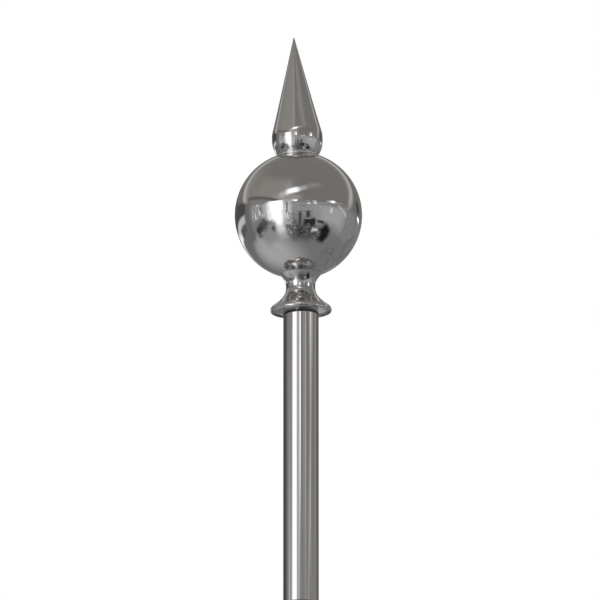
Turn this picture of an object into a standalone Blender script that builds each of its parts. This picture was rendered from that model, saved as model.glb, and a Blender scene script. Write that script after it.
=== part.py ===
"""A polished steel flagpole finial on the top of its pole.

A teardrop spike stands on a ball, the ball on a flared collar, and the collar caps the pole.
Metres, +Z up. The origin is the centre of the pole's square-cut end and the pole stands upright.
The finial sits a little out of true on the pole and leans towards -X, as the real one does.
"""
import math

import bmesh
import bpy

# Pole
POLE_DIAMETER = 0.0424
POLE_WALL = 0.0015
POLE_SHOWN = 0.3542

# Ball
BALL_DIAMETER = 0.1530

# Collar, from the rim at the bottom to the cup under the ball
COLLAR_WALL = 0.0015
RIM_DIAMETER = 0.0736
RIM_CURL_RADIUS = 0.0030
RIM_CURL_DEG = 50.0
RIM_SHOULDER_RADIUS = 0.0060
SKIRT_SLOPE_DEG = 56.0
SKIRT_HEIGHT = 0.0293
NECK_DIAMETER = 0.0352
NECK_LENGTH = 0.0044
CUP_HEIGHT = 0.0137
CUP_DIAMETER = 0.0504
CUP_SLOPE_DEG = 42.0

# Spike, a teardrop with its bulb on the ball
SPIKE_DIAMETER = 0.0610
SPIKE_TAPER_LENGTH = 0.1252
SPIKE_TIP_RADIUS = 0.0006
SHOULDER_RADIUS = 0.0300
SHOULDER_SLOPE_DEG = 15.9
BELT_HEIGHT = 0.0036
TAPER_EASE = 0.0150
BULB_RADIUS = 0.0340
BULB_DEPTH = 0.0198

# How far the finial and its spike are out of true, in the XZ plane
FINIAL_LEAN_DEG = 0.8
BALL_OFFSET = -0.0014
SPIKE_LEAN_DEG = 1.1

# Clearance between neighbouring pieces, and how far a piece is made into the ball before it is cut to fit
FIT_GAP = 0.0003
SEAT_OVERRUN = 0.0030

# Fineness of the round surfaces
TURN_STEPS = 48
BALL_RINGS = 24
CURVE_STEPS = 5
TIP_STEPS = 2
MERGE_DISTANCE = 0.00005

# Polished stainless steel
STEEL_COLOUR = (0.60, 0.59, 0.57)
POLE_ROUGHNESS = 0.05
BALL_ROUGHNESS = 0.03
COLLAR_ROUGHNESS = 0.06
SPIKE_ROUGHNESS = 0.04

POLE_RADIUS = POLE_DIAMETER / 2
BALL_RADIUS = BALL_DIAMETER / 2
RIM_RADIUS = RIM_DIAMETER / 2
NECK_RADIUS = NECK_DIAMETER / 2
CUP_RADIUS = CUP_DIAMETER / 2
SPIKE_RADIUS = SPIKE_DIAMETER / 2

# Heights above the lowest point of the rim
WIDEST_HEIGHT = (RIM_CURL_RADIUS - COLLAR_WALL / 2) * math.sin(math.radians(RIM_CURL_DEG)) + COLLAR_WALL / 2
NECK_BOTTOM = SKIRT_HEIGHT
NECK_TOP = NECK_BOTTOM + NECK_LENGTH
CUP_TOP = NECK_TOP + CUP_HEIGHT
SEAT_RADIUS = BALL_RADIUS + FIT_GAP
BALL_HEIGHT = CUP_TOP + math.sqrt(SEAT_RADIUS ** 2 - CUP_RADIUS ** 2)


def clear_scene():
    """Remove whatever the opened file holds."""
    for old in list(bpy.data.objects):
        bpy.data.objects.remove(old, do_unlink=True)


def arc(centre, radius, start_deg, end_deg, steps):
    """Points (r, z) on a circular arc, angles measured from the outward direction."""
    points = []
    for step in range(steps + 1):
        angle = math.radians(start_deg + (end_deg - start_deg) * step / steps)
        points.append((centre[0] + radius * math.cos(angle), centre[1] + radius * math.sin(angle)))
    return points


def bend(start, corner, end, steps):
    """Points (r, z) on the curve that leaves start and reaches end along the lines to corner."""
    points = []
    for step in range(steps + 1):
        t = step / steps
        weights = ((1 - t) ** 2, 2 * t * (1 - t), t ** 2)
        points.append(tuple(sum(w * p[i] for w, p in zip(weights, (start, corner, end))) for i in (0, 1)))
    return points


def without_repeats(points):
    """The points without any that lies on the one before it."""
    kept = [points[0]]
    for point in points[1:]:
        if math.dist(point, kept[-1]) > MERGE_DISTANCE:
            kept.append(point)
    return kept


def inner_side(outer, wall):
    """The outline that lies one wall inside an outer outline given top to bottom."""
    inner = []
    for i, (r, z) in enumerate(outer):
        before = outer[max(i - 1, 0)]
        after = outer[min(i + 1, len(outer) - 1)]
        along_r, along_z = after[0] - before[0], after[1] - before[1]
        length = math.hypot(along_r, along_z)
        inner.append((r + wall * along_z / length, z - wall * along_r / length))
    return inner


def height_where(outline, radius):
    """The height at which an outline that widens downwards has the given radius."""
    for (r_above, z_above), (r_below, z_below) in zip(outline, outline[1:]):
        if r_above <= radius <= r_below and r_below > r_above:
            share = (radius - r_above) / (r_below - r_above)
            return z_above + share * (z_below - z_above)
    return outline[-1][1]


def steel(name, roughness):
    """Polished steel: one metal colour, with the piece's own gloss."""
    material = bpy.data.materials.new(name)
    material.use_nodes = True
    shader = material.node_tree.nodes["Principled BSDF"]
    shader.inputs["Base Color"].default_value = (*STEEL_COLOUR, 1.0)
    shader.inputs["Metallic"].default_value = 1.0
    shader.inputs["Roughness"].default_value = roughness
    return material


def add_object(name, mesh, collection, material=None, parent=None):
    """A new object for the mesh, in its collection and under its parent."""
    thing = bpy.data.objects.new(name, mesh)
    collection.objects.link(thing)
    if material:
        mesh.materials.append(material)
    thing.parent = parent
    return thing


def turned(name, profile, closed, collection, material, parent=None):
    """A body of revolution about Z from a profile at +X that runs down its outer side."""
    mesh = bpy.data.meshes.new(name)
    count = len(profile)
    edges = [(i, i + 1) for i in range(count - 1)]
    if closed:
        edges.append((count - 1, 0))
    mesh.from_pydata([(r, 0.0, z) for r, z in profile], edges, [])
    thing = add_object(name, mesh, collection, material, parent)
    screw = thing.modifiers.new("Turn", "SCREW")
    screw.axis = "Z"
    screw.angle = math.tau
    screw.steps = TURN_STEPS
    screw.render_steps = TURN_STEPS
    screw.use_merge_vertices = True
    screw.merge_threshold = MERGE_DISTANCE
    screw.use_smooth_shade = True
    return thing


def round_body(name, radius, collection, material=None, parent=None):
    """A sphere about its own centre, as fine as the turned pieces."""
    mesh = bpy.data.meshes.new(name)
    body = bmesh.new()
    bmesh.ops.create_uvsphere(body, u_segments=TURN_STEPS, v_segments=BALL_RINGS, radius=radius)
    body.to_mesh(mesh)
    body.free()
    mesh.shade_smooth()
    return add_object(name, mesh, collection, material, parent)


def cut(thing, cutter):
    """Cut the cutter's shape out of a piece."""
    boolean = thing.modifiers.new("Seat", "BOOLEAN")
    boolean.operation = "DIFFERENCE"
    boolean.solver = "EXACT"
    boolean.object = cutter


def collar_outline():
    """The collar's outer outline in the finial's own frame, top to bottom, rim at height 0."""
    cup_slope = math.tan(math.radians(CUP_SLOPE_DEG))
    above_cup = (CUP_RADIUS + SEAT_OVERRUN * cup_slope, CUP_TOP + SEAT_OVERRUN)
    cup_edge = (CUP_RADIUS, CUP_TOP)
    cup_corner = (NECK_RADIUS, CUP_TOP - (CUP_RADIUS - NECK_RADIUS) / cup_slope)
    cup = bend(cup_edge, cup_corner, (NECK_RADIUS, NECK_TOP), CURVE_STEPS)

    shoulder_centre = (RIM_RADIUS - RIM_SHOULDER_RADIUS, WIDEST_HEIGHT)
    shoulder = arc(shoulder_centre, RIM_SHOULDER_RADIUS, SKIRT_SLOPE_DEG, 0.0, CURVE_STEPS)
    skirt_end = shoulder[0]
    skirt_slope = math.tan(math.radians(SKIRT_SLOPE_DEG))
    skirt_corner = (NECK_RADIUS, skirt_end[1] + (skirt_end[0] - NECK_RADIUS) / skirt_slope)
    skirt = bend((NECK_RADIUS, NECK_BOTTOM), skirt_corner, skirt_end, CURVE_STEPS)
    curl_centre = (RIM_RADIUS - RIM_CURL_RADIUS, WIDEST_HEIGHT)
    curl = arc(curl_centre, RIM_CURL_RADIUS, 0.0, -RIM_CURL_DEG, CURVE_STEPS)
    return without_repeats([above_cup, *cup, *skirt, *shoulder, *curl])


def rim_edge(outer_end, inner_end):
    """The rounded edge of the rim's wall, between the ends of its outer and inner outlines."""
    centre = ((outer_end[0] + inner_end[0]) / 2, (outer_end[1] + inner_end[1]) / 2)
    across = math.degrees(math.atan2(outer_end[1] - centre[1], outer_end[0] - centre[0]))
    return arc(centre, math.dist(outer_end, centre), across, across - 180.0, CURVE_STEPS)[1:-1]


def pole_top():
    """Height above the collar's rim at which the leaning collar comes to rest on the pole."""
    lean_room = math.sin(math.radians(FINIAL_LEAN_DEG)) * (SKIRT_HEIGHT + POLE_RADIUS)
    inside = inner_side(collar_outline(), COLLAR_WALL)
    skirt_inside = [point for point in inside if point[1] < NECK_BOTTOM]
    return height_where(skirt_inside, POLE_RADIUS + lean_room + FIT_GAP)


def spike_outline():
    """The spike's outline from its tip to inside the ball, with the foot of its belt at height 0."""
    tip_centre = (0.0, BELT_HEIGHT + SPIKE_TAPER_LENGTH - SPIKE_TIP_RADIUS)
    tip = arc(tip_centre, SPIKE_TIP_RADIUS, 90.0, SHOULDER_SLOPE_DEG, TIP_STEPS)

    shoulder_centre = (SPIKE_RADIUS - SHOULDER_RADIUS, BELT_HEIGHT)
    shoulder = arc(shoulder_centre, SHOULDER_RADIUS, SHOULDER_SLOPE_DEG, 0.0, CURVE_STEPS)
    slope = math.radians(SHOULDER_SLOPE_DEG)
    taper_end = shoulder[0]
    ease_in, ease_up = TAPER_EASE * math.sin(slope), TAPER_EASE * math.cos(slope)
    taper_corner = (taper_end[0] - ease_in, taper_end[1] + ease_up)
    taper = bend(tip[-1], taper_corner, taper_end, CURVE_STEPS)

    bulb_centre = (SPIKE_RADIUS - BULB_RADIUS, 0.0)
    bulb_end_deg = -math.degrees(math.asin(BULB_DEPTH / BULB_RADIUS))
    bulb = arc(bulb_centre, BULB_RADIUS, 0.0, bulb_end_deg, CURVE_STEPS)
    foot = (bulb[-1][0], -BULB_DEPTH - SEAT_OVERRUN)
    return without_repeats([*tip, *taper, *shoulder, *bulb, foot, (0.0, foot[1])])


def belt_foot():
    """Height of the foot of the spike's belt above the ball's centre."""
    seat_ring = SPIKE_RADIUS - BULB_RADIUS + math.sqrt(BULB_RADIUS ** 2 - BULB_DEPTH ** 2)
    return math.sqrt(SEAT_RADIUS ** 2 - seat_ring ** 2) + BULB_DEPTH


def make_pole(collection):
    """The pole's tube, from its square-cut end up into the collar."""
    top = POLE_SHOWN + pole_top()
    bore = POLE_RADIUS - POLE_WALL
    profile = [(POLE_RADIUS, top), (POLE_RADIUS, 0.0), (bore, 0.0), (bore, top)]
    turned("pole", profile, True, collection, steel("pole steel", POLE_ROUGHNESS))


def make_ball(collection, finial):
    """The ball, resting in the collar's cup."""
    material = steel("ball steel", BALL_ROUGHNESS)
    ball = round_body("ball", BALL_RADIUS, collection, material, finial)
    ball.location = (BALL_OFFSET, 0.0, BALL_HEIGHT)


def make_ball_seat(collection, finial):
    """The cutter that leaves a fitting gap round the ball."""
    radius = SEAT_RADIUS / math.cos(math.pi / TURN_STEPS) ** 2
    seat = round_body("ball_seat", radius, collection, parent=finial)
    seat.location = (BALL_OFFSET, 0.0, BALL_HEIGHT)
    seat.hide_render = True
    seat.display_type = "WIRE"
    return seat


def make_collar(collection, finial, seat):
    """The collar: a shell of one wall, open below and cut to the ball above."""
    outer = collar_outline()
    inner = inner_side(outer, COLLAR_WALL)
    edge = rim_edge(outer[-1], inner[-1])
    profile = without_repeats([*outer, *edge, *reversed(inner)])
    material = steel("collar steel", COLLAR_ROUGHNESS)
    collar = turned("collar", profile, True, collection, material, finial)
    cut(collar, seat)


def make_spike(collection, finial, seat):
    """The teardrop spike, cut to the ball that it stands on."""
    material = steel("spike steel", SPIKE_ROUGHNESS)
    spike = turned("spike", spike_outline(), False, collection, material, finial)
    spike.location = (BALL_OFFSET, 0.0, BALL_HEIGHT + belt_foot())
    spike.rotation_euler = (0.0, -math.radians(SPIKE_LEAN_DEG), 0.0)
    cut(spike, seat)


def main():
    """Build the pole upright and the finial leaning on top of it."""
    clear_scene()
    parts = bpy.data.collections.new("Flagpole finial")
    cutters = bpy.data.collections.new("Cutters")
    bpy.context.scene.collection.children.link(parts)
    bpy.context.scene.collection.children.link(cutters)

    finial = bpy.data.objects.new("finial", None)
    parts.objects.link(finial)
    finial.location = (0.0, 0.0, POLE_SHOWN)
    finial.rotation_euler = (0.0, -math.radians(FINIAL_LEAN_DEG), 0.0)

    seat = make_ball_seat(cutters, finial)
    make_pole(parts)
    make_collar(parts, finial, seat)
    make_ball(parts, finial)
    make_spike(parts, finial, seat)


main()
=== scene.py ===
"""A polished steel flagpole finial: its looks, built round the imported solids.

Each solid is replaced by the same turned shape made fine and smooth, in polished stainless steel.
The steel is a mirror, so its look comes from a grey room that only reflections see.
"""

import math
from collections import namedtuple

import bmesh
import bpy
from mathutils import Matrix, Vector


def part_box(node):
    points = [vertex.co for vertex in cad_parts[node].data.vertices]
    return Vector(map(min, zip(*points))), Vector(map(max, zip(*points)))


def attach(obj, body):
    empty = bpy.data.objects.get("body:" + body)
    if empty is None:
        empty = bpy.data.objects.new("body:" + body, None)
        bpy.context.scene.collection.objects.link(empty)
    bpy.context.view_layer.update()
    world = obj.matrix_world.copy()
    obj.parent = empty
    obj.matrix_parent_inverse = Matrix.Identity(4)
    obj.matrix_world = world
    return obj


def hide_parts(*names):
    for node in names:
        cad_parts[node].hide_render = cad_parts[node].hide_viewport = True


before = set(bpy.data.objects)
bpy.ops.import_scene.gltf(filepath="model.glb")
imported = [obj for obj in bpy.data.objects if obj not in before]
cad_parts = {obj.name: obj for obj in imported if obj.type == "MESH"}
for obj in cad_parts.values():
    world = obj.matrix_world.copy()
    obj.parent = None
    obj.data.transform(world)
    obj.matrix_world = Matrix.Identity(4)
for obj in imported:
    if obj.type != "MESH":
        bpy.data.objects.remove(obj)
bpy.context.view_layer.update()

# Sizes of the object in metres, as its solids have them
POLE_WALL = 0.0015
COLLAR_WALL = 0.0015
RIM_DIAMETER = 0.0736
RIM_CURL_RADIUS = 0.0030
RIM_CURL_DEG = 50.0
RIM_SHOULDER_RADIUS = 0.0060
SKIRT_SLOPE_DEG = 56.0
SKIRT_HEIGHT = 0.0293
NECK_DIAMETER = 0.0352
NECK_LENGTH = 0.0044
CUP_HEIGHT = 0.0137
CUP_DIAMETER = 0.0504
CUP_SLOPE_DEG = 42.0
SPIKE_DIAMETER = 0.0610
SPIKE_TAPER_LENGTH = 0.1252
SPIKE_TIP_RADIUS = 0.0006
SHOULDER_RADIUS = 0.0300
SHOULDER_SLOPE_DEG = 15.9
BELT_HEIGHT = 0.0036
TAPER_EASE = 0.0150
BULB_RADIUS = 0.0340
BULB_DEPTH = 0.0198
FIT_GAP = 0.0003
SEAT_OVERRUN = 0.0030
POLE_SHOWN = 0.3542
FINIAL_LEAN = math.radians(0.8)
BALL_OFFSET = -0.0014
SPIKE_LEAN = math.radians(1.1)

# Sizes read from the frame
POLE_RADIUS = (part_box("pole")[1].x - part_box("pole")[0].x) / 2
POLE_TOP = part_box("pole")[1].z
BALL_RADIUS = (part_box("ball")[1].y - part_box("ball")[0].y) / 2

RIM_RADIUS = RIM_DIAMETER / 2
NECK_RADIUS = NECK_DIAMETER / 2
CUP_RADIUS = CUP_DIAMETER / 2
SPIKE_RADIUS = SPIKE_DIAMETER / 2
SEAT_RADIUS = BALL_RADIUS + FIT_GAP
WIDEST_HEIGHT = (RIM_CURL_RADIUS - COLLAR_WALL / 2) * math.sin(math.radians(RIM_CURL_DEG)) + COLLAR_WALL / 2
NECK_BOTTOM = SKIRT_HEIGHT
NECK_TOP = NECK_BOTTOM + NECK_LENGTH
CUP_TOP = NECK_TOP + CUP_HEIGHT
BALL_HEIGHT = CUP_TOP + math.sqrt(SEAT_RADIUS ** 2 - CUP_RADIUS ** 2)

# Sizes that the solids don't have: the gap over the ball, the bead at the spike's foot, deburred corners
SEAT_GAP = 0.0001
FOOT_BEAD_RADIUS = 0.0010
DEBURR = 0.0003

# Fineness of the turned surfaces
TURN_STEPS = 256
BALL_STEPS = 128
CURVE_STEPS = 28
TIP_STEPS = 6
EDGE_STEPS = 8
MERGE_DISTANCE = 0.00002
WELD_DISTANCE = 0.000002
HUB_RADIUS = 0.001
SHARP_ANGLE = math.radians(35)

# Where each piece's own axis stands in the part's frame
FINIAL_PLACE = Matrix.Translation((0.0, 0.0, POLE_SHOWN)) @ Matrix.Rotation(-FINIAL_LEAN, 4, "Y")
BALL_PLACE = FINIAL_PLACE @ Matrix.Translation((BALL_OFFSET, 0.0, BALL_HEIGHT))

# Camera: the photograph looks up at the finial from below
PHOTO_ELEVATION = math.radians(-13.5)
PHOTO_DISTANCE = 9.0
PHOTO_TARGET = Vector((-0.0012, 0.0, 0.3696))
PHOTO_SPAN = 0.7188
SENSOR_WIDTH = 36.0
FARTHEST_SEEN = 100.0


class Wire:
    """An output in a node tree. Python's operators on it add Math nodes to the tree."""

    def __init__(self, tree, socket=None):
        self.tree = tree
        self.socket = socket

    def node(self, kind, settings=None, inputs=None, output=0):
        """Add a node: its settings first, then the values or links of its sockets."""
        made = self.tree.nodes.new(kind)
        for name, value in (settings or {}).items():
            setattr(made, name, value)
        for name, value in (inputs or {}).items():
            socket = socket_of(made.inputs, name)
            if isinstance(value, Wire):
                self.tree.links.new(value.socket, socket)
            else:
                socket.default_value = value
        return Wire(self.tree, socket_of(made.outputs, output))

    def math(self, operation, *values):
        return self.node("ShaderNodeMath", {"operation": operation}, dict(enumerate(values)))

    def __add__(self, other):
        return self.math("ADD", self, other)

    def __radd__(self, other):
        return self.math("ADD", other, self)

    def __sub__(self, other):
        return self.math("SUBTRACT", self, other)

    def __rsub__(self, other):
        return self.math("SUBTRACT", other, self)

    def __mul__(self, other):
        return self.math("MULTIPLY", self, other)

    def __rmul__(self, other):
        return self.math("MULTIPLY", other, self)

    def __truediv__(self, other):
        return self.math("DIVIDE", self, other)

    def __abs__(self):
        return self.math("ABSOLUTE", self)

    def fade(self, start, end):
        """1 where this is below start, falling smoothly to 0 at end."""
        limits = {"Value": self, "From Min": start, "From Max": end, "To Min": 1.0, "To Max": 0.0}
        return self.node("ShaderNodeMapRange", {"interpolation_type": "SMOOTHSTEP"}, limits)


def socket_of(sockets, key):
    """A node's socket by its number, or the one in use that has the name."""
    if isinstance(key, int):
        return sockets[key]
    return next(socket for socket in sockets if socket.name == key and socket.enabled)


def arc(centre, radius, start_deg, end_deg, steps):
    """Points (r, z) on a circular arc, angles measured from the outward direction."""
    points = []
    for step in range(steps + 1):
        angle = math.radians(start_deg + (end_deg - start_deg) * step / steps)
        points.append((centre[0] + radius * math.cos(angle), centre[1] + radius * math.sin(angle)))
    return points


def bend(start, corner, end, steps):
    """Points (r, z) on the curve that leaves start and reaches end along the lines to corner."""
    points = []
    for step in range(steps + 1):
        t = step / steps
        weights = ((1 - t) ** 2, 2 * t * (1 - t), t ** 2)
        points.append(tuple(sum(w * p[i] for w, p in zip(weights, (start, corner, end))) for i in (0, 1)))
    return points


def without_repeats(points):
    """The points without any that lies on the one before it."""
    kept = [points[0]]
    for point in points[1:]:
        if math.dist(point, kept[-1]) > MERGE_DISTANCE:
            kept.append(point)
    return kept


def inner_side(outer, wall):
    """The outline that lies one wall inside an outer outline given top to bottom."""
    inner = []
    for i, (r, z) in enumerate(outer):
        before = outer[max(i - 1, 0)]
        after = outer[min(i + 1, len(outer) - 1)]
        along_r, along_z = after[0] - before[0], after[1] - before[1]
        length = math.hypot(along_r, along_z)
        inner.append((r + wall * along_z / length, z - wall * along_r / length))
    return inner


def pole_outline():
    """The tube's wall in section, its four corners deburred, as a closed outline."""
    bore = POLE_RADIUS - POLE_WALL
    return [
        (POLE_RADIUS - DEBURR, POLE_TOP), (POLE_RADIUS, POLE_TOP - DEBURR),
        (POLE_RADIUS, DEBURR), (POLE_RADIUS - DEBURR, 0.0),
        (bore + DEBURR, 0.0), (bore, DEBURR),
        (bore, POLE_TOP - DEBURR), (bore + DEBURR, POLE_TOP),
    ]


def ball_outline(radius):
    """Half a circle from the top pole of the ball to the bottom one."""
    middle = arc((0.0, 0.0), radius, 90.0, -90.0, BALL_STEPS)[1:-1]
    return [(0.0, radius), *middle, (0.0, -radius)]


def collar_outline():
    """The collar's wall in section as a closed outline, its rim's lowest point at height 0."""
    cup_slope = math.tan(math.radians(CUP_SLOPE_DEG))
    above_cup = (CUP_RADIUS + SEAT_OVERRUN * cup_slope, CUP_TOP + SEAT_OVERRUN)
    cup_edge = (CUP_RADIUS, CUP_TOP)
    cup_corner = (NECK_RADIUS, CUP_TOP - (CUP_RADIUS - NECK_RADIUS) / cup_slope)
    cup = bend(cup_edge, cup_corner, (NECK_RADIUS, NECK_TOP), CURVE_STEPS)

    shoulder_centre = (RIM_RADIUS - RIM_SHOULDER_RADIUS, WIDEST_HEIGHT)
    shoulder = arc(shoulder_centre, RIM_SHOULDER_RADIUS, SKIRT_SLOPE_DEG, 0.0, CURVE_STEPS)
    skirt_end = shoulder[0]
    skirt_slope = math.tan(math.radians(SKIRT_SLOPE_DEG))
    skirt_corner = (NECK_RADIUS, skirt_end[1] + (skirt_end[0] - NECK_RADIUS) / skirt_slope)
    skirt = bend((NECK_RADIUS, NECK_BOTTOM), skirt_corner, skirt_end, CURVE_STEPS)
    curl_centre = (RIM_RADIUS - RIM_CURL_RADIUS, WIDEST_HEIGHT)
    curl = arc(curl_centre, RIM_CURL_RADIUS, 0.0, -RIM_CURL_DEG, CURVE_STEPS)
    outer = without_repeats([above_cup, *cup, *skirt, *shoulder, *curl])
    inner = inner_side(outer, COLLAR_WALL)

    edge_centre = ((outer[-1][0] + inner[-1][0]) / 2, (outer[-1][1] + inner[-1][1]) / 2)
    across = math.degrees(math.atan2(outer[-1][1] - edge_centre[1], outer[-1][0] - edge_centre[0]))
    edge = arc(edge_centre, math.dist(outer[-1], edge_centre), across, across - 180.0, EDGE_STEPS)[1:-1]
    return without_repeats([*outer, *edge, *reversed(inner)])


def spike_outline():
    """The spike's outline from its tip to inside the ball, with the foot of its belt at height 0."""
    tip_centre = (0.0, BELT_HEIGHT + SPIKE_TAPER_LENGTH - SPIKE_TIP_RADIUS)
    tip = arc(tip_centre, SPIKE_TIP_RADIUS, 90.0, SHOULDER_SLOPE_DEG, TIP_STEPS)
    tip[0] = (0.0, tip[0][1])
    shoulder_centre = (SPIKE_RADIUS - SHOULDER_RADIUS, BELT_HEIGHT)
    shoulder = arc(shoulder_centre, SHOULDER_RADIUS, SHOULDER_SLOPE_DEG, 0.0, CURVE_STEPS)
    slope = math.radians(SHOULDER_SLOPE_DEG)
    taper_end = shoulder[0]
    ease_in, ease_up = TAPER_EASE * math.sin(slope), TAPER_EASE * math.cos(slope)
    taper_corner = (taper_end[0] - ease_in, taper_end[1] + ease_up)
    taper = bend(tip[-1], taper_corner, taper_end, CURVE_STEPS)
    bulb_end_deg = -math.degrees(math.asin(BULB_DEPTH / BULB_RADIUS))
    bulb = arc((SPIKE_RADIUS - BULB_RADIUS, 0.0), BULB_RADIUS, 0.0, bulb_end_deg, CURVE_STEPS)
    bead_centre = (bulb[-1][0] - FOOT_BEAD_RADIUS / 3, bulb[-1][1] + FOOT_BEAD_RADIUS / 2)
    bead = arc(bead_centre, FOOT_BEAD_RADIUS, 20.0, -90.0, EDGE_STEPS)
    foot = (bead[-1][0], -BULB_DEPTH - SEAT_OVERRUN)
    return without_repeats([*tip, *taper, *shoulder, *bulb[:-1], *bead, foot, (0.0, foot[1])])


def belt_foot():
    """Height of the foot of the spike's belt above the ball's centre."""
    seat_ring = SPIKE_RADIUS - BULB_RADIUS + math.sqrt(BULB_RADIUS ** 2 - BULB_DEPTH ** 2)
    return math.sqrt(SEAT_RADIUS ** 2 - seat_ring ** 2) + BULB_DEPTH


SPIKE_LEANING = Matrix.Rotation(-SPIKE_LEAN, 4, "Y")
SPIKE_PLACE = BALL_PLACE @ Matrix.Translation((0.0, 0.0, belt_foot())) @ SPIKE_LEANING


def turning_tree():
    """A Geometry Nodes tree that turns an outline, drawn at +X, about the Z axis."""
    tree = bpy.data.node_groups.new("Turn an outline", "GeometryNodeTree")
    sockets = (("Outline", "Geometry"), ("Turn steps", "Int"), ("Hub radius", "Float"),
               ("Merge distance", "Float"), ("Material", "Material"))
    for name, kind in sockets:
        tree.interface.new_socket(name, in_out="INPUT", socket_type="NodeSocket" + kind)
    tree.interface.new_socket("Turned", in_out="OUTPUT", socket_type="NodeSocketGeometry")
    given = tree.nodes.new("NodeGroupInput")
    outline, steps, hub, merge, material = (Wire(tree, given.outputs[name]) for name, _ in sockets)

    start = Wire(tree)
    place = start.node("GeometryNodeInputPosition")
    radius = start.node("ShaderNodeSeparateXYZ", inputs={"Vector": place}, output="X")
    height = start.node("ShaderNodeSeparateXYZ", inputs={"Vector": place}, output="Z")
    flat = start.node("ShaderNodeCombineXYZ", inputs={"X": radius - hub, "Y": 0.0 - height})
    section = start.node("GeometryNodeSetPosition", inputs={"Geometry": outline, "Position": flat})
    section = start.node("GeometryNodeMeshToCurve", inputs={"Mesh": section})
    ring = start.node("GeometryNodeCurvePrimitiveCircle", {"mode": "RADIUS"}, {
        "Resolution": steps, "Radius": hub})
    ring = start.node("GeometryNodeSetCurveNormal", {"mode": "Z_UP"}, {"Curve": ring})
    turned = start.node("GeometryNodeCurveToMesh", inputs={"Curve": ring, "Profile Curve": section})
    turned = start.node("GeometryNodeMergeByDistance", inputs={"Geometry": turned, "Distance": merge})
    turned = start.node("GeometryNodeRealizeInstances", inputs={"Geometry": turned})
    turned = start.node("GeometryNodeSetMaterial", inputs={"Geometry": turned, "Material": material})
    result = tree.nodes.new("NodeGroupOutput")
    tree.links.new(turned.socket, result.inputs["Turned"])
    return tree


def give_inputs(modifier, values):
    """Set a Geometry Nodes modifier's inputs by their sockets' identifiers."""
    for item in modifier.node_group.interface.items_tree:
        if item.item_type == "SOCKET" and item.in_out == "INPUT" and item.name in values:
            modifier[item.identifier] = values[item.name]


def baked(thing, name):
    """A plain mesh object of what the given object's modifiers make; the given object goes."""
    bpy.context.view_layer.update()
    evaluated = thing.evaluated_get(bpy.context.evaluated_depsgraph_get())
    mesh = bpy.data.meshes.new_from_object(evaluated)
    bpy.data.objects.remove(thing)
    mesh.name = name
    made = bpy.data.objects.new(name, mesh)
    bpy.context.scene.collection.objects.link(made)
    return made


def turned(name, outline, closed, place, tree, material):
    """A turned body from its outline, put in its place in the part's frame."""
    count = len(outline)
    edges = [(i, i + 1) for i in range(count - 1)]
    if closed:
        edges.append((count - 1, 0))
    mesh = bpy.data.meshes.new(name + "_outline")
    mesh.from_pydata([(r, 0.0, z) for r, z in outline], edges, [])
    drawn = bpy.data.objects.new(name + "_outline", mesh)
    bpy.context.scene.collection.objects.link(drawn)
    turning = drawn.modifiers.new("Turn", "NODES")
    turning.node_group = tree
    give_inputs(turning, {
        "Turn steps": TURN_STEPS,
        "Hub radius": HUB_RADIUS,
        "Merge distance": WELD_DISTANCE,
        "Material": material,
    })
    made = baked(drawn, name)
    made.data.transform(place)
    face_outwards(made.data)
    return made


def face_outwards(mesh):
    """Turn a closed mesh's faces outwards."""
    body = bmesh.new()
    body.from_mesh(mesh)
    bmesh.ops.recalc_face_normals(body, faces=body.faces)
    body.to_mesh(mesh)
    body.free()


def cut_to_ball(piece, seat):
    """Cut a piece where it meets the ball, leaving the fitting gap."""
    boolean = piece.modifiers.new("Seat", "BOOLEAN")
    boolean.operation = "DIFFERENCE"
    boolean.solver = "EXACT"
    boolean.object = seat
    name = piece.name
    piece.name = name + "_uncut"
    return baked(piece, name)


def dress(piece, node):
    """Shade a finished piece smooth and let it stand for its solid."""
    piece.data.shade_smooth()
    piece.data.set_sharp_from_angle(angle=SHARP_ANGLE)
    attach(piece, "root")
    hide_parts(node)


# Polished stainless steel: clean, where it is worn, and where it is ground; the ground ring's paler colour
# is a painted highlight
STEEL = (0.600, 0.590, 0.572)
STEEL_WORN = (0.500, 0.488, 0.466)
STEEL_GROUND_HIGHLIGHT = (0.860, 0.850, 0.835)
GLOSS = 0.022
WORN_ROUGHNESS = 0.10
GROUND_ROUGHNESS = 0.22

# Its marks: how many to a metre, where their noise begins and ends, how much each one wears
SMEAR_SCALE = 34.0
SMEAR_LEVELS = (0.52, 0.74)
SMEAR_WEAR = 0.30
PIT_SCALE = 420.0
PIT_LEVELS = (0.04, 0.10)
PIT_WEAR = 0.4
LINE_WEAR = 0.25
LINE_DEPTH = 0.0000012
SEAM_WEAR = 0.8

# Polishing lines to a metre along X, Y and Z: round the piece, along it, or without a direction
ROUND_GRAIN = (60.0, 60.0, 2600.0)
LONG_GRAIN = (2600.0, 2600.0, 60.0)
SWIRLED_GRAIN = (900.0, 900.0, 900.0)

# How far from the ball's surface a worn seam and a ground ring, painted paler as a highlight, begin and end
# to fade
COLLAR_SEAM = (0.0002, 0.0016)
FOOT_SEAM = (0.0028, 0.0046)
FOOT_HIGHLIGHT_RING = (0.0014, 0.0020)
NO_RING = (-0.002, -0.001)


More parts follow.
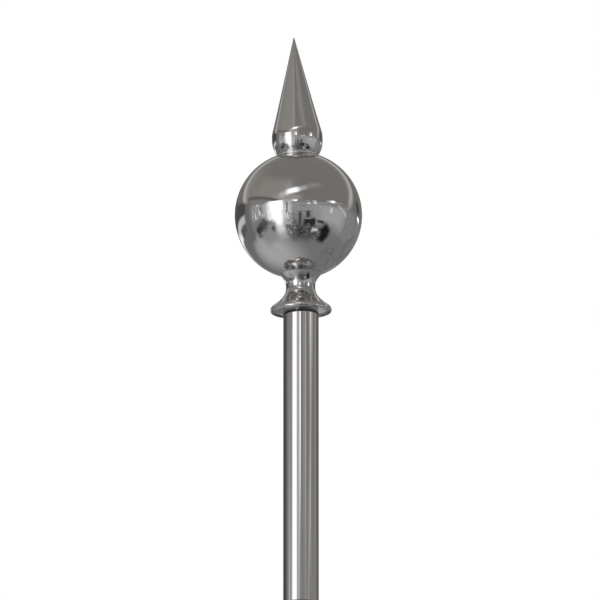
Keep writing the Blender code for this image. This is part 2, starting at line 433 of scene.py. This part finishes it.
def polished_steel(name, place, grain, waves, wave_depth, seam=NO_RING, ring=NO_RING):
    """Polished stainless steel, its marks laid out about the piece's own axis.

    waves are how many waves of wave_depth the surface has to a metre along X, Y and Z.
    """
    material = bpy.data.materials.new(name)
    material.use_nodes = True
    tree = material.node_tree
    shader = tree.nodes["Principled BSDF"]
    shader.inputs["Metallic"].default_value = 1.0
    start = Wire(tree)
    at = start.node("ShaderNodeTexCoord", output="Object")
    own = start.node("ShaderNodeMapping", {"vector_type": "TEXTURE"}, {
        "Vector": at,
        "Location": place.to_translation(),
        "Rotation": place.to_euler(),
    })
    lined = start.node("ShaderNodeMapping", inputs={"Vector": own, "Scale": grain})
    lines = start.node("ShaderNodeTexNoise", inputs={"Vector": lined, "Scale": 1.0, "Detail": 3.0})
    waved = start.node("ShaderNodeMapping", inputs={"Vector": own, "Scale": waves})
    wave = start.node("ShaderNodeTexNoise", inputs={"Vector": waved, "Scale": 1.0, "Detail": 1.0})
    smears = start.node("ShaderNodeTexNoise", inputs={
        "Vector": own, "Scale": SMEAR_SCALE, "Detail": 4.0, "Distortion": 0.6})
    pits = start.node("ShaderNodeTexVoronoi", inputs={"Vector": own, "Scale": PIT_SCALE})

    from_centre = start.node("ShaderNodeVectorMath", {"operation": "DISTANCE"}, {
        0: at, 1: BALL_PLACE.to_translation()}, output="Value")
    from_ball = abs(from_centre - BALL_RADIUS)
    # The ring at the spike's foot is rougher ground steel, and its paler colour is a painted highlight line
    ground_and_highlight = from_ball.fade(*ring)
    smear = 1.0 - smears.fade(*SMEAR_LEVELS)
    pit = pits.fade(*PIT_LEVELS)
    worn_seam = from_ball.fade(*seam)
    wear = smear * SMEAR_WEAR + (lines - 0.5) * LINE_WEAR + pit * PIT_WEAR + worn_seam * SEAM_WEAR
    colour = start.node("ShaderNodeMix", {"data_type": "RGBA"}, {
        "Factor": wear, "A": (*STEEL, 1.0), "B": (*STEEL_WORN, 1.0)}, output="Result")
    # Paler steel in the ring by the ball: a painted highlight
    colour = start.node("ShaderNodeMix", {"data_type": "RGBA"}, {
        "Factor": ground_and_highlight, "A": colour, "B": (*STEEL_GROUND_HIGHLIGHT, 1.0)}, output="Result")
    roughness = GLOSS + wear * (WORN_ROUGHNESS - GLOSS)
    roughness = roughness + ground_and_highlight * (GROUND_ROUGHNESS - roughness)
    bumped = start.node("ShaderNodeBump", inputs={"Height": wave, "Distance": wave_depth})
    bumped = start.node("ShaderNodeBump", inputs={
        "Height": lines, "Distance": LINE_DEPTH, "Normal": bumped})
    tree.links.new(colour.socket, shader.inputs["Base Color"])
    tree.links.new(roughness.socket, shader.inputs["Roughness"])
    tree.links.new(bumped.socket, shader.inputs["Normal"])
    return material


def make_pieces():
    """The four turned pieces in place of their solids."""
    tree = turning_tree()
    pole_steel = polished_steel("pole_steel", Matrix(), LONG_GRAIN, (45.0, 45.0, 7.0), 0.00003)
    ball_steel = polished_steel("ball_steel", BALL_PLACE, SWIRLED_GRAIN, (22.0, 22.0, 22.0), 0.00003)
    collar_steel = polished_steel(
        "collar_steel", FINIAL_PLACE, ROUND_GRAIN, (30.0, 30.0, 160.0), 0.00001, seam=COLLAR_SEAM)
    spike_steel = polished_steel(
        "spike_steel", SPIKE_PLACE, ROUND_GRAIN, (30.0, 30.0, 90.0), 0.00003,
        seam=FOOT_SEAM, ring=FOOT_HIGHLIGHT_RING)

    pole = turned("polished_pole", pole_outline(), True, Matrix(), tree, pole_steel)
    ball = turned("polished_ball", ball_outline(BALL_RADIUS), False, BALL_PLACE, tree, ball_steel)
    seat = turned("ball_seat", ball_outline(BALL_RADIUS + SEAT_GAP), False, BALL_PLACE, tree, ball_steel)
    collar = turned("polished_collar", collar_outline(), True, FINIAL_PLACE, tree, collar_steel)
    spike = turned("polished_spike", spike_outline(), False, SPIKE_PLACE, tree, spike_steel)
    collar = cut_to_ball(collar, seat)
    spike = cut_to_ball(spike, seat)
    bpy.data.objects.remove(seat)
    for piece, node in ((pole, "pole"), (ball, "ball"), (collar, "collar"), (spike, "spike")):
        dress(piece, node)


def mirrored(grey):
    """Light that shows in the steel as this grey level from 0 to 255, or as white above that."""
    share = grey / 255
    light = share / 12.92 if share <= 0.04045 else ((share + 0.055) / 1.055) ** 2.4
    return light / STEEL[1]


WHITE = (1.0, 1.0, 1.0, 1.0)

# The room's own greys, as the steel shows them, and the elevations in degrees where they fade
CEILING_GREY = 109
WALL_GREY = 122
WALL_TOP = (11.5, 14.5)
FLOOR_GREY = 110
FLOOR_EDGE = (-34.0, -16.0)
LIT_FLOOR_GREY = 160
LIT_FLOOR = Vector((-0.55, 0.12, -0.80)).normalized()
LIT_FLOOR_FADE = (0.2, 1.0)

# A wall under a straight edge: the elevations where it fades into the floor, and its soft top
SIDE_WALL_FOOT = (-30.0, -16.0)
SIDE_WALL_TOP = (-0.03, 0.0)

# Outlines in the room waver by up to WOBBLE degrees, and all of it stands SINK degrees lower
WOBBLE = 1.3
WOBBLE_SCALE = 9.0
SINK = 1.2

# Ware is noise: its scale, the level of an even share, how far the level shifts, and its soft edge
UPRIGHT_WARE_SCALE = (16.0, 16.0, 4.0)
ROUND_WARE_SCALE = 15.0
WARE_MIDDLE = 0.50
WARE_SPREAD = 0.36
WARE_EDGE = 0.06

# Daylight is a little blue. What is as dark as the ceiling, and high up, is a little yellow.
DAYLIGHT = (0.995, 0.99, 1.04)
CEILING_LIGHT = (1.03, 1.0, 0.955)
WARM_FROM = (4.0, 18.0)
WARM_GREYS = (118, 170)

# The things in the room, as directions from the finial in degrees: azimuth 0 is towards the camera,
# positive to the right, and a patch is turned anticlockwise. Greys are as the steel shows them.
# A patch with ware covers only that share of its ground, in upright or in round shapes.
Patch = namedtuple(
    "Patch",
    "what azimuth elevation half_width half_height side_fade edge_fade turn grey ware share",
    defaults=(None, 1.0))
CEILING = (
    Patch("ceiling on the left", -104, 38, 20, 8, 26, 16, 0, 121),
    Patch("ceiling's glow", -50, 36, 22, 6, 32, 22, 6, 127),
    Patch("glow over the roof light", -21, 41.5, 0, 0, 13, 11, 0, 140),
    Patch("glow over the door", -22, 20, 16, 2, 20, 8, 0, 139),
)
PATCHES = (
    Patch("roof light's near end", -27, 27.0, 3, 1.4, 11, 6.5, 20, 172),
    Patch("roof light's far end", 30, 42.8, 4, 0.4, 28, 7.0, 9, 128),
    Patch("roof light's middle", 5, 37.0, 2, 0.8, 17, 5.6, 14, 166),
    Patch("roof light", -11, 33.2, 4, 1.8, 14, 5.6, 13, 272),
    Patch("left corner", -108, -2, 5, 18, 6, 5, 0, 101),
    Patch("left shelves", -76, 3, 10, 7, 8, 5, 0, 146),
    Patch("things on the shelves", -78, 3, 12, 8, 5, 4, 0, 196, "upright", 0.34),
    Patch("gaps on the shelves", -80, 0, 12, 8, 5, 4, 0, 108, "round", 0.25),
    Patch("floor on the left", -62, -34, 18, 6, 26, 16, 0, 134),
    Patch("bench", -78, -18.5, 12, 3, 8, 5, 14, 78),
    Patch("bench's shade", -83, -20.5, 7, 1.8, 5, 4, 14, 54),
    Patch("things under the bench", -80, -23, 14, 4, 6, 5, 8, 82, "round", 0.4),
    Patch("stool", -53, -30, 2.4, 2.2, 4, 4, 20, 52),
    Patch("front wall", 8, 0.5, 22, 8, 6, 3.5, 0, 137),
    Patch("floor in front", 10, -42, 20, 8, 18, 16, 0, 87),
    Patch("door's glow on the left", -59, 0, 2, 10, 7, 6, 0, 168),
    Patch("door's glow on the right", -25, -6, 4, 16, 13, 9, 0, 200),
    Patch("posts by the door", -15, -4, 8, 15, 5, 6, 0, 122, "upright", 0.38),
    Patch("crowd by the door", -17, -33, 11, 12, 5, 8, 0, 88, "round", 0.46),
    Patch("glints by the door", -20, -32, 11, 12, 5, 8, 0, 164, "upright", 0.24),
    Patch("glare on the floor", -40, -40, 5, 4, 14, 14, 0, 160),
    Patch("glare under the door", -38, -27, 2, 5, 12, 14, 0, 210),
    Patch("open door's near side", -55, 0, 1, 13, 7, 4, 3, 226),
    Patch("open door's lower part", -41, -6, 6, 6, 9, 11, 0, 272),
    Patch("open door", -41, 7.0, 8, 7.4, 8, 1.8, 2, 275),
    Patch("open door's foot", -38, -18, 2, 3, 8, 9, 0, 262),
    Patch("right wall", 62, -2, 31, 9, 6, 4, 0, 142),
    Patch("right wall's foot", 62, -14, 30, 3, 8, 14, 0, 138),
    Patch("right wall's light", 66, -5, 12, 6, 22, 10, 0, 154),
    Patch("beyond the right wall", 112, -8, 8, 12, 8, 9, 0, 120),
    Patch("wall's edge", 87, 6.5, 11, 0.3, 2, 1.6, -24, 182),
    Patch("hanging thing", 62, 3, 1.8, 4, 1.6, 2, 0, 206, "round", 0.45),
    Patch("hanging thing's shade", 63, 1, 2, 4, 1.6, 2, 0, 92, "upright", 0.35),
    Patch("sign", 8, 4.5, 4, 0.4, 2, 1.0, 3, 106),
    Patch("shelf in front", 12, -5, 13, 0.3, 5, 1.0, 0, 108),
    Patch("post in front", 3, -17, 1.6, 8, 2.6, 6, 0, 70),
    Patch("machine's top", 18, -10, 1.6, 3, 4.0, 5, 0, 58),
    Patch("machine", 20, -23, 6, 3, 6.5, 6.5, 0, 40),
    Patch("machine's edge", 18, -17.5, 5, 0.3, 2, 0.9, 4, 140),
    Patch("machine's side", 30, -23, 1, 4, 5, 6.5, 0, 36),
    Patch("low bench", 44, -20, 5, 0.8, 5, 3.2, -4, 54),
    Patch("things on the floor", 26, -41, 26, 7, 8, 7, 0, 50, "round", 0.56),
    Patch("light things on the floor", 40, -37, 20, 7, 8, 7, 0, 132, "round", 0.20),
    Patch("dark heap", 60, -31, 5, 4, 10, 9, -30, 26),
    Patch("dark heap's foot", 63, -42, 5, 4, 11, 10, 0, 28),
    Patch("light crate", 36, -35.5, 5, 1.4, 3, 2.4, 12, 184),
    Patch("long lamp", 51, 12.3, 34, 0.1, 6, 0.7, 5, 154),
    Patch("lamp 1's glow", -9, 14.9, 2, 0.8, 4, 2.4, 0, 200),
    Patch("lamp 2's glow", 17, 13.8, 2, 0.4, 4, 1.4, 0, 136),
    Patch("lamp 3's glow", 29, 14.2, 2, 0.4, 4, 2.2, 0, 166),
    Patch("lamp 4's glow", 63, 15.4, 6, 0.6, 7, 1.8, 0, 168),
    Patch("lamp 1", -5, 14.9, 1.2, 0.5, 2.6, 1.6, 0, 285),
    Patch("lamp 2", 18.5, 10.0, 0.8, 0.3, 2.2, 1.1, 0, 262),
    Patch("lamp 3", 30.5, 10.9, 0.8, 0.3, 2.6, 1.2, 0, 262),
    Patch("lamp 4", 65, 16.2, 1.2, 0.4, 5.5, 1.4, 0, 320),
    Patch("lamp 5", -79, 11.6, 1.0, 0.3, 3, 1.2, 0, 196),
    Patch("wall behind on the left", -142, 4.2, 24, 2.6, 6, 3.5, 0, 178),
    Patch("shade behind on the left", -143, 13.5, 26, 3.5, 8, 4, 0, 68),
    Patch("lower shade behind on the left", -128, -3, 9, 2, 6, 3.5, -6, 84),
    Patch("light behind on the left", -153, 2.5, 8, 0.8, 8, 2.4, -22, 220),
    Patch("things behind on the right", 138, -40, 34, 12, 14, 10, 0, 96, "round", 0.34),
    Patch("lines behind on the right", 135, -4, 28, 8, 14, 10, 0, 126, "upright", 0.4),
    Patch("shade behind on the right", 137, 16.5, 3, 1.5, 6, 4.5, 0, 62),
    Patch("lamp behind on the right", 139, 9.0, 2, 0.4, 5, 1.8, 0, 290),
)

# Straight edges of the room that rise towards an azimuth: a line of one grey, another grey below it
Edge = namedtuple("Edge", "what azimuth rise middle half_width side_fade thickness line below")
EDGES = (
    Edge("beam on the left", -88, 0.404, -70, 42, 9, 0.068, 86, 117),
    Edge("wall behind", 177, 0.80, 180, 70, 14, 0.0, 100, 100),
    Edge("soffit behind", 180, 0.97, 180, 62, 20, 0.17, 132, None),
    Edge("eaves behind", 177, 0.84, 180, 66, 18, 0.11, 163, None),
)


def patch_mask(azimuth, elevation, patch):
    """1 inside a patch of the room, falling softly to 0 round it."""
    across = azimuth.math("WRAP", azimuth - patch.azimuth, 180.0, -180.0)
    up = elevation - patch.elevation
    turn = math.radians(patch.turn)
    along = across * math.cos(turn) + up * math.sin(turn)
    over = up * math.cos(turn) - across * math.sin(turn)
    width = abs(along).fade(patch.half_width, patch.half_width + patch.side_fade)
    height = abs(over).fade(patch.half_height, patch.half_height + patch.edge_fade)
    return width * height


def make_room():
    """The grey room that the steel mirrors. The camera sees a plain white backdrop in its place."""
    world = bpy.data.worlds.new("room")
    bpy.context.scene.world = world
    world.use_nodes = True
    tree = world.node_tree
    tree.nodes.clear()
    start = Wire(tree)
    direction = start.node("ShaderNodeTexCoord", output="Generated")
    east = start.node("ShaderNodeSeparateXYZ", inputs={"Vector": direction}, output="X")
    north = start.node("ShaderNodeSeparateXYZ", inputs={"Vector": direction}, output="Y")
    height = start.node("ShaderNodeSeparateXYZ", inputs={"Vector": direction}, output="Z")
    wobbles = start.node("ShaderNodeTexNoise", inputs={
        "Vector": direction, "Scale": WOBBLE_SCALE, "Detail": 2.0}, output="Color")
    sideways = start.node("ShaderNodeSeparateXYZ", inputs={"Vector": wobbles}, output="X")
    upwards = start.node("ShaderNodeSeparateXYZ", inputs={"Vector": wobbles}, output="Y")
    degrees = math.degrees(1.0)
    azimuth = start.math("ARCTAN2", east, 0.0 - north) * degrees + (sideways - 0.5) * (2 * WOBBLE)
    elevation = start.math("ARCSINE", height) * degrees + (upwards - 0.5) * (2 * WOBBLE) + SINK
    tall = start.node("ShaderNodeMapping", inputs={"Vector": direction, "Scale": UPRIGHT_WARE_SCALE})
    ware = {
        "upright": start.node("ShaderNodeTexNoise", inputs={"Vector": tall, "Scale": 1.0, "Detail": 3.0}),
        "round": start.node("ShaderNodeTexNoise", inputs={
            "Vector": direction, "Scale": ROUND_WARE_SCALE, "Detail": 3.0}),
    }

    below_ceiling = mirrored(WALL_GREY) - mirrored(CEILING_GREY)
    room = mirrored(CEILING_GREY) + elevation.fade(*WALL_TOP) * below_ceiling
    room = room + elevation.fade(*FLOOR_EDGE) * (mirrored(FLOOR_GREY) - room)
    off_lit = start.node("ShaderNodeVectorMath", {"operation": "DISTANCE"}, {
        0: direction, 1: LIT_FLOOR}, "Value")
    room = room + off_lit.fade(*LIT_FLOOR_FADE) * (mirrored(LIT_FLOOR_GREY) - room)
    for patch in CEILING:
        room = room + patch_mask(azimuth, elevation, patch) * (mirrored(patch.grey) - room)
    for edge in EDGES:
        way = math.radians(edge.azimuth)
        rise = (east * math.sin(way) - north * math.cos(way)) * edge.rise
        over = (height - rise) / math.hypot(1.0, edge.rise)
        across = azimuth.math("WRAP", azimuth - edge.middle, 180.0, -180.0)
        near = abs(across).fade(edge.half_width, edge.half_width + edge.side_fade)
        if edge.below:
            wall = near * over.fade(*SIDE_WALL_TOP) * (1.0 - elevation.fade(*SIDE_WALL_FOOT))
            room = room + wall * (mirrored(edge.below) - room)
        if edge.thickness:
            room = room + near * abs(over).fade(0.0, edge.thickness) * (mirrored(edge.line) - room)
    for patch in PATCHES:
        mask = patch_mask(azimuth, elevation, patch)
        if patch.ware:
            level = WARE_MIDDLE + (0.5 - patch.share) * WARE_SPREAD
            mask = mask * (1.0 - ware[patch.ware].fade(level - WARE_EDGE, level + WARE_EDGE))
        room = room + mask * (mirrored(patch.grey) - room)

    dull = room.fade(*(mirrored(grey) for grey in WARM_GREYS))
    warm = (1.0 - elevation.fade(*WARM_FROM)) * dull
    tint = start.node("ShaderNodeMix", {"data_type": "RGBA"}, {
        "Factor": warm, "A": (*DAYLIGHT, 1.0), "B": (*CEILING_LIGHT, 1.0)}, output="Result")
    seen = start.node("ShaderNodeBackground", inputs={"Color": tint, "Strength": room})
    backdrop = start.node("ShaderNodeBackground", inputs={"Color": WHITE, "Strength": 1.0})
    by_camera = start.node("ShaderNodeLightPath", output="Is Camera Ray")
    both = start.node("ShaderNodeMixShader", inputs={0: by_camera, 1: seen, 2: backdrop})
    ending = tree.nodes.new("ShaderNodeOutputWorld")
    tree.links.new(both.socket, ending.inputs["Surface"])


# The pale floor and the soft light over it
FLOOR_RADIUS = 12.0
FLOOR_DROP = 0.0005
FLOOR_FADE = (0.7, 3.5)
FLOOR_COLOUR = (0.80, 0.80, 0.79, 1.0)
LIGHT_STRENGTH = 2.4
LIGHT_WIDTH = math.radians(40)
LIGHT_TURN = (math.radians(28), math.radians(-22), 0.0)


def make_floor():
    """A plain pale floor that turns to white further out and, seen from below, isn't there."""
    mesh = bpy.data.meshes.new("floor")
    disc = bmesh.new()
    bmesh.ops.create_circle(disc, cap_ends=True, segments=96, radius=FLOOR_RADIUS)
    disc.to_mesh(mesh)
    disc.free()
    mesh.transform(Matrix.Translation((0.0, 0.0, -FLOOR_DROP)))
    floor = bpy.data.objects.new("floor", mesh)
    bpy.context.scene.collection.objects.link(floor)
    floor.visible_glossy = False

    material = bpy.data.materials.new("pale_floor")
    material.use_nodes = True
    tree = material.node_tree
    tree.nodes.clear()
    start = Wire(tree)
    at = start.node("ShaderNodeTexCoord", output="Object")
    out = start.node("ShaderNodeVectorMath", {"operation": "LENGTH"}, {0: at}, output="Value")
    matt = start.node("ShaderNodeBsdfDiffuse", inputs={"Color": FLOOR_COLOUR})
    white = start.node("ShaderNodeEmission", inputs={"Color": WHITE, "Strength": 1.0})
    clear = start.node("ShaderNodeBsdfTransparent")
    top = start.node("ShaderNodeMixShader", inputs={0: out.fade(*FLOOR_FADE), 1: white, 2: matt})
    below = start.node("ShaderNodeNewGeometry", output="Backfacing")
    both = start.node("ShaderNodeMixShader", inputs={0: below, 1: top, 2: clear})
    ending = tree.nodes.new("ShaderNodeOutputMaterial")
    tree.links.new(both.socket, ending.inputs["Surface"])
    mesh.materials.append(material)


def make_light():
    """One wide soft light from above. The steel doesn't mirror it."""
    light = bpy.data.lights.new("soft light", "SUN")
    light.energy = LIGHT_STRENGTH
    light.angle = LIGHT_WIDTH
    lamp = bpy.data.objects.new("soft light", light)
    lamp.rotation_euler = LIGHT_TURN
    lamp.visible_glossy = False
    bpy.context.scene.collection.objects.link(lamp)


def make_camera():
    """The photograph's view: from the front, far off and below, looking up."""
    camera = bpy.data.cameras.new("camera")
    camera.sensor_width = SENSOR_WIDTH
    camera.lens = SENSOR_WIDTH * PHOTO_DISTANCE / PHOTO_SPAN
    camera.clip_end = FARTHEST_SEEN
    eye = bpy.data.objects.new("camera", camera)
    back = Vector((0.0, -math.cos(PHOTO_ELEVATION), math.sin(PHOTO_ELEVATION)))
    eye.location = PHOTO_TARGET + PHOTO_DISTANCE * back
    eye.rotation_euler = (-back).to_track_quat("-Z", "Y").to_euler()
    bpy.context.scene.collection.objects.link(eye)
    bpy.context.scene.camera = eye


make_pieces()
make_room()
make_floor()
make_light()
make_camera()
bpy.context.scene.view_settings.view_transform = "Standard"
